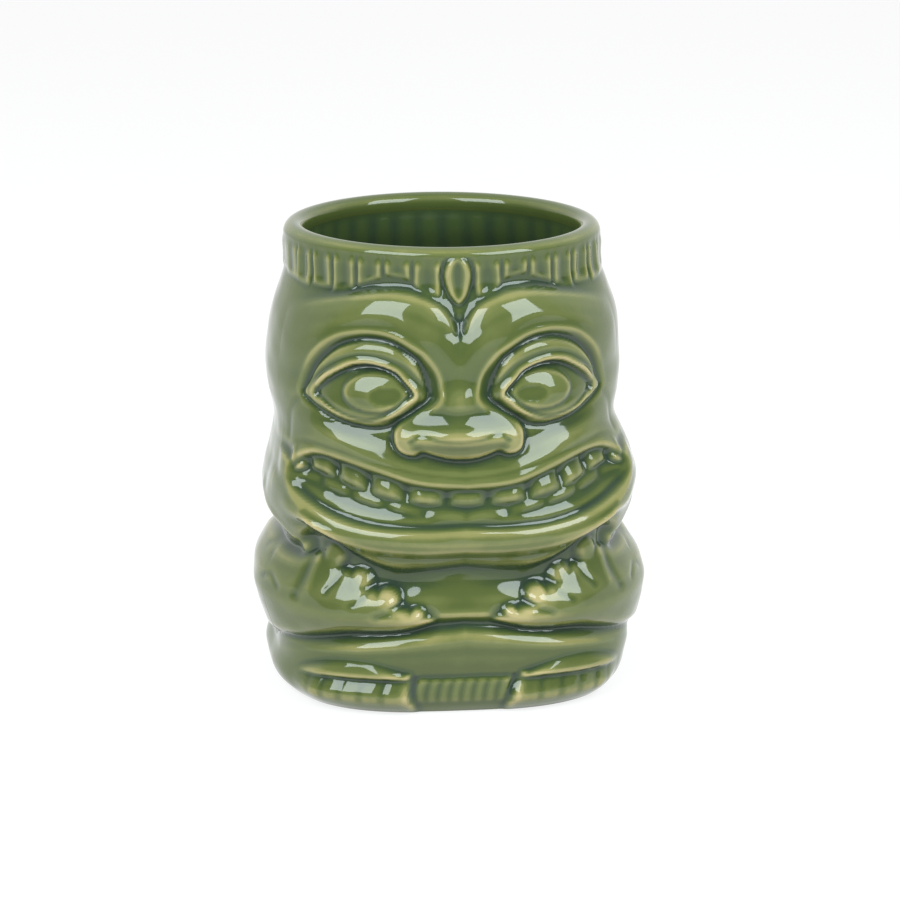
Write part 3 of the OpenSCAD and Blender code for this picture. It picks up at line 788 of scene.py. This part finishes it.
def carved_piece(name, mask):
    """A closed piece: its glazed face, its back inside the wall, and its sides."""
    points = np.vstack([outer.reshape(-1, 3), inward.reshape(-1, 3)])
    front = cell_quads(mask)
    back = cell_quads(mask, flip=True) + GRID
    sides = []
    for (ra, ca), (rb, cb) in boundary(mask):
        a, b = ra * COLUMNS + ca, rb * COLUMNS + cb
        sides.append((b, a, a + GRID, b + GRID))
    sides = np.array(sides)
    return build(name, points, front, np.vstack([sides, back]))


def build(name, points, smooth_faces, flat_faces, extra_normals=None, extra_glaze_and_shade=None):
    """A mesh object with smooth glazed faces and flat hidden ones, keeping only the points in use."""
    normals = np.vstack([outer_normals.reshape(-1, 3), outer_normals.reshape(-1, 3)])
    glaze_and_shade = np.concatenate([all_pools.ravel(), all_pools.ravel()])
    if extra_normals is not None:
        normals = np.vstack([normals, extra_normals])
        glaze_and_shade = np.concatenate([glaze_and_shade, extra_glaze_and_shade])
    faces = np.vstack([smooth_faces, flat_faces])
    used, index = np.unique(faces, return_inverse=True)
    corner = np.concatenate([
        normals[smooth_faces].reshape(-1, 3),
        np.repeat(flat_normals(points, flat_faces), 4, axis=0),
    ])
    return make_object(name, points[used], index.reshape(faces.shape).tolist(), corner, glaze_and_shade[used])


def wall_piece(name, labels):
    """The wall: plain where nothing is carved, with a pocket behind each carved piece."""
    rest, rest_glaze_and_shade = vessel_rings()
    count = len(rest)
    loop = np.concatenate([outer[-1:], rest, outer[:1]])
    normals = -np.cross(np.gradient(loop, axis=0), np.roll(loop, -1, 1) - np.roll(loop, 1, 1))
    normals /= np.maximum(np.linalg.norm(normals, axis=2, keepdims=True), 1e-12)
    normals[0] = outer_normals[-1]
    points = np.vstack([outer.reshape(-1, 3), inward.reshape(-1, 3), rest.reshape(-1, 3)])
    plain = labels == 0
    smooth = [cell_quads(plain)]
    pocket = cell_quads(~plain) + GRID
    columns = np.arange(COLUMNS)
    nxt = (columns + 1) % COLUMNS
    starts = [(len(rows_z) - 1) * COLUMNS] + [2 * GRID + i * COLUMNS for i in range(count)] + [0]
    for a, b in zip(starts, starts[1:]):
        smooth.append(np.stack([a + columns, a + nxt, b + nxt, b + columns], -1))
    sides = []
    for (ra, ca), (rb, cb) in boundary(plain):
        a, b = ra * COLUMNS + ca, rb * COLUMNS + cb
        top_or_bottom = ra == rb and ra in (0, len(rows_z) - 1)
        if not top_or_bottom:
            sides.append((b, a, a + GRID, b + GRID))
    return build(name, points, np.vstack(smooth), np.vstack([np.array(sides), pocket]),
                 normals[1:-1].reshape(-1, 3), rest_glaze_and_shade.ravel())


def lathe(name, outline, sides=160):
    """A closed solid of revolution from an outline of [radius, height] in mm."""
    angle = np.linspace(0, 2 * math.pi, sides, endpoint=False)
    points, faces = [], []
    for r, z in outline:
        points += [(r * math.sin(a), -r * math.cos(a), z) for a in angle]
    count = len(outline)
    for j in range(count):
        k = (j + 1) % count
        for i in range(sides):
            n = (i + 1) % sides
            faces.append((j * sides + i, j * sides + n, k * sides + n, k * sides + i))
    return make_object(name, np.array(points), faces, None, np.full(len(points), 0.6))


def foot_ring_piece():
    """The bare ring of clay that the mug stands on."""
    inner = FOOT_R - FOOT_WIDTH
    return lathe("clay_foot_ring", [
        (inner + 0.5, 0), (FOOT_R - 0.5, 0), (FOOT_R - 0.15, 0.15), (FOOT_R, 0.5), (FOOT_R, FOOT_H),
        (inner, FOOT_H), (inner, 0.5), (inner + 0.15, 0.15),
    ])


def floor_piece():
    """The cup's floor, a little dished, down to the glazed recess under the mug."""
    corner_r = plan_radius(curve(PROFILE, CORNER_TOP), plan_power(CORNER_TOP), angles) - WALL
    edge = corner_r - FLOOR_INSET
    shares = [1, 0.85, 0.65, 0.42, 0.2, 0.05]
    rings = [ring(edge * s, FLOOR_TOP - 0.3 * (1 - s * s)) for s in reversed(shares)]
    rings += [ring(edge, FOOT_H)] + [ring(edge * s, FOOT_H + 0.5 * (1 - s * s)) for s in shares[1:]]
    points = np.array(rings).reshape(-1, 3)
    columns = np.arange(COLUMNS)
    nxt = (columns + 1) % COLUMNS
    faces = []
    for j in range(len(rings) - 1):
        a, b = j * COLUMNS, (j + 1) * COLUMNS
        faces += np.stack([a + columns, b + columns, b + nxt, a + nxt], -1).tolist()
    faces.append(list(range(COLUMNS)))
    last = (len(rings) - 1) * COLUMNS
    faces.append([last + i for i in reversed(range(COLUMNS))])
    return make_object("glazed_cup_floor", points, faces, None, np.full(len(points), 0.72))


# ---- materials -----------------------------------------------------------------------------

def shader(name):
    """A new material, with its node tree and its shader."""
    material = bpy.data.materials.new(name)
    material.use_nodes = True
    tree = material.node_tree
    return material, tree, tree.nodes["Principled BSDF"]


def srgb(r, g, b):
    """A colour from its 0 to 255 display values."""
    return tuple(((v / 255 + 0.055) / 1.055) ** 2.4 if v > 10 else v / 3295 for v in (r, g, b)) + (1,)


# The glaze's colour, from where it runs thin (0) to where it pools (1).
GLAZE_STOPS = [
    (0.00, (168, 156, 108)), (0.14, (130, 128, 78)), (0.32, (94, 102, 56)),
    (0.50, (76, 87, 43)), (0.72, (58, 73, 40)), (1.00, (42, 57, 44)),
]


def glaze_material():
    """Glossy green glaze: pale where it runs thin on edges and dark where it pools; inside the cup the dark
    colour is painted shade.
    """
    material, tree, bsdf = shader("pooled_green_glaze")
    nodes, links = tree.nodes, tree.links
    attribute = nodes.new("ShaderNodeAttribute")
    attribute.attribute_name = "glaze"
    where = nodes.new("ShaderNodeTexCoord")
    cloud = nodes.new("ShaderNodeTexNoise")
    cloud.inputs["Scale"].default_value = 95
    cloud.inputs["Detail"].default_value = 5
    cloud.inputs["Roughness"].default_value = 0.6
    links.new(where.outputs["Object"], cloud.inputs["Vector"])
    shift = nodes.new("ShaderNodeMath")
    shift.operation = "MULTIPLY_ADD"
    shift.inputs[1].default_value = 0.22
    links.new(cloud.outputs["Fac"], shift.inputs[0])
    lower = nodes.new("ShaderNodeMath")
    lower.operation = "SUBTRACT"
    lower.inputs[1].default_value = 0.11
    links.new(attribute.outputs["Fac"], lower.inputs[0])
    links.new(lower.outputs[0], shift.inputs[2])
    ramp = nodes.new("ShaderNodeValToRGB")
    ramp.color_ramp.interpolation = "EASE"
    stops = ramp.color_ramp.elements
    while len(stops) < len(GLAZE_STOPS):
        stops.new(0.5)
    for stop, (place, colour) in zip(stops, GLAZE_STOPS):
        stop.position = place
        stop.color = srgb(*colour)
    links.new(shift.outputs[0], ramp.inputs["Fac"])
    links.new(ramp.outputs["Color"], bsdf.inputs["Base Color"])
    gloss = nodes.new("ShaderNodeMapRange")
    gloss.inputs["To Min"].default_value = 0.03
    gloss.inputs["To Max"].default_value = 0.09
    links.new(cloud.outputs["Fac"], gloss.inputs["Value"])
    links.new(gloss.outputs["Result"], bsdf.inputs["Roughness"])
    bsdf.inputs["IOR"].default_value = 1.52
    return material


def clay_material():
    """Bare fired clay: pale, matt and a little gritty."""
    material, tree, bsdf = shader("bare_clay")
    nodes, links = tree.nodes, tree.links
    where = nodes.new("ShaderNodeTexCoord")
    grit = nodes.new("ShaderNodeTexNoise")
    grit.inputs["Scale"].default_value = 900
    grit.inputs["Detail"].default_value = 4
    links.new(where.outputs["Object"], grit.inputs["Vector"])
    ramp = nodes.new("ShaderNodeValToRGB")
    ramp.color_ramp.elements[0].color = srgb(186, 172, 146)
    ramp.color_ramp.elements[1].color = srgb(222, 212, 192)
    links.new(grit.outputs["Fac"], ramp.inputs["Fac"])
    links.new(ramp.outputs["Color"], bsdf.inputs["Base Color"])
    rough = nodes.new("ShaderNodeMapRange")
    rough.inputs["To Min"].default_value = 0.7
    rough.inputs["To Max"].default_value = 0.92
    links.new(grit.outputs["Fac"], rough.inputs["Value"])
    links.new(rough.outputs["Result"], bsdf.inputs["Roughness"])
    bump = nodes.new("ShaderNodeBump")
    bump.inputs["Strength"].default_value = 0.4
    bump.inputs["Distance"].default_value = 0.0002
    links.new(grit.outputs["Fac"], bump.inputs["Height"])
    links.new(bump.outputs["Normal"], bsdf.inputs["Normal"])
    return material


def adopt(piece, node, material):
    """Makes a piece stand for its CAD node."""
    piece.data.materials.append(material)
    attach(piece, "root")
    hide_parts(node)


# ---- the mug -------------------------------------------------------------------------------

glaze = glaze_material()
clay = clay_material()
cell_labels, label_names = label_cells()
adopt(wall_piece("glazed_cup_wall", cell_labels), "cup_wall", glaze)
for number, name in enumerate(label_names):
    if number > 0:
        adopt(carved_piece("glazed_" + name, cell_labels == number), name, glaze)


adopt(foot_ring_piece(), "foot_ring", clay)


adopt(floor_piece(), "cup_floor", glaze)


# ---- stage, light and camera ---------------------------------------------------------------

CENTRE = np.array([0, 0, TOP / 2]) * MM
VIEW_AZIMUTH = math.radians(-5.5)
VIEW_ELEVATION = math.radians(15.4)
VIEW_DISTANCE = 0.7
SOFTBOX_ELEVATION = math.radians(36)
SOFTBOX_DISTANCE = 0.9
SOFTBOX_HEIGHT = 0.6
DAYLIGHT = (0.86, 0.95, 1.0)
FLOOR_HALF = 3.0


def from_centre(azimuth, elevation, reach):
    """A place at a bearing from the mug. Azimuth 0 is in front of the face, and 90 degrees towards +x."""
    flat = reach * math.cos(elevation)
    up = reach * math.sin(elevation)
    return CENTRE + np.array([flat * math.sin(azimuth), -flat * math.cos(azimuth), up])


def look_at(obj, place, target):
    obj.location = place
    obj.rotation_euler = (Vector(target) - Vector(place)).to_track_quat("-Z", "Y").to_euler()


def add_camera():
    camera = bpy.data.cameras.new("camera")
    camera.lens = 110.0
    camera.sensor_width = 36.0
    camera.shift_x = 0.0062
    camera.shift_y = -0.0104
    obj = bpy.data.objects.new("camera", camera)
    bpy.context.collection.objects.link(obj)
    look_at(obj, from_centre(VIEW_AZIMUTH, VIEW_ELEVATION, VIEW_DISTANCE), CENTRE)
    bpy.context.scene.camera = obj


def add_softbox(name, azimuth, width, power):
    light = bpy.data.lights.new(name, "AREA")
    light.shape = "RECTANGLE"
    light.size = width
    light.size_y = SOFTBOX_HEIGHT
    light.energy = power
    light.color = DAYLIGHT
    obj = bpy.data.objects.new(name, light)
    bpy.context.collection.objects.link(obj)
    look_at(obj, from_centre(math.radians(azimuth), SOFTBOX_ELEVATION, SOFTBOX_DISTANCE), CENTRE)


def add_floor():
    """A plain floor that glows a little, so that it stays white behind the mug."""
    mesh = bpy.data.meshes.new("floor")
    s = FLOOR_HALF
    mesh.from_pydata([(-s, -s, 0), (s, -s, 0), (s, s, 0), (-s, s, 0)], [], [(0, 1, 2, 3)])
    obj = bpy.data.objects.new("floor", mesh)
    bpy.context.collection.objects.link(obj)
    material, _, bsdf = shader("white_floor")
    bsdf.inputs["Base Color"].default_value = (0.25, 0.25, 0.25, 1)
    bsdf.inputs["Roughness"].default_value = 0.9
    bsdf.inputs["Specular IOR Level"].default_value = 0.1
    bsdf.inputs["Emission Color"].default_value = (1, 1, 1, 1)
    bsdf.inputs["Emission Strength"].default_value = 0.78
    mesh.materials.append(material)


def add_world():
    """White behind the mug and all round it, and a dim studio on the side that it faces."""
    world = bpy.data.worlds.new("studio")
    bpy.context.scene.world = world
    world.use_nodes = True
    tree = world.node_tree
    background = tree.nodes["Background"]
    where = tree.nodes.new("ShaderNodeTexCoord")
    split = tree.nodes.new("ShaderNodeSeparateXYZ")
    tree.links.new(where.outputs["Generated"], split.inputs[0])
    ramp = tree.nodes.new("ShaderNodeMapRange")
    ramp.interpolation_type = "SMOOTHSTEP"
    ramp.inputs["From Min"].default_value = -0.25
    ramp.inputs["From Max"].default_value = 0.45
    ramp.inputs["To Min"].default_value = 0.22
    ramp.inputs["To Max"].default_value = 1.0
    tree.links.new(split.outputs["Y"], ramp.inputs["Value"])
    tree.links.new(ramp.outputs["Result"], background.inputs["Strength"])
    background.inputs["Color"].default_value = (1, 1, 1, 1)


add_camera()
add_floor()
add_world()
add_softbox("softbox_left", azimuth=-44.5, width=0.6, power=8.4)
add_softbox("softbox_right", azimuth=46.5, width=0.56, power=7.9)
bpy.context.scene.view_settings.view_transform = "Standard"
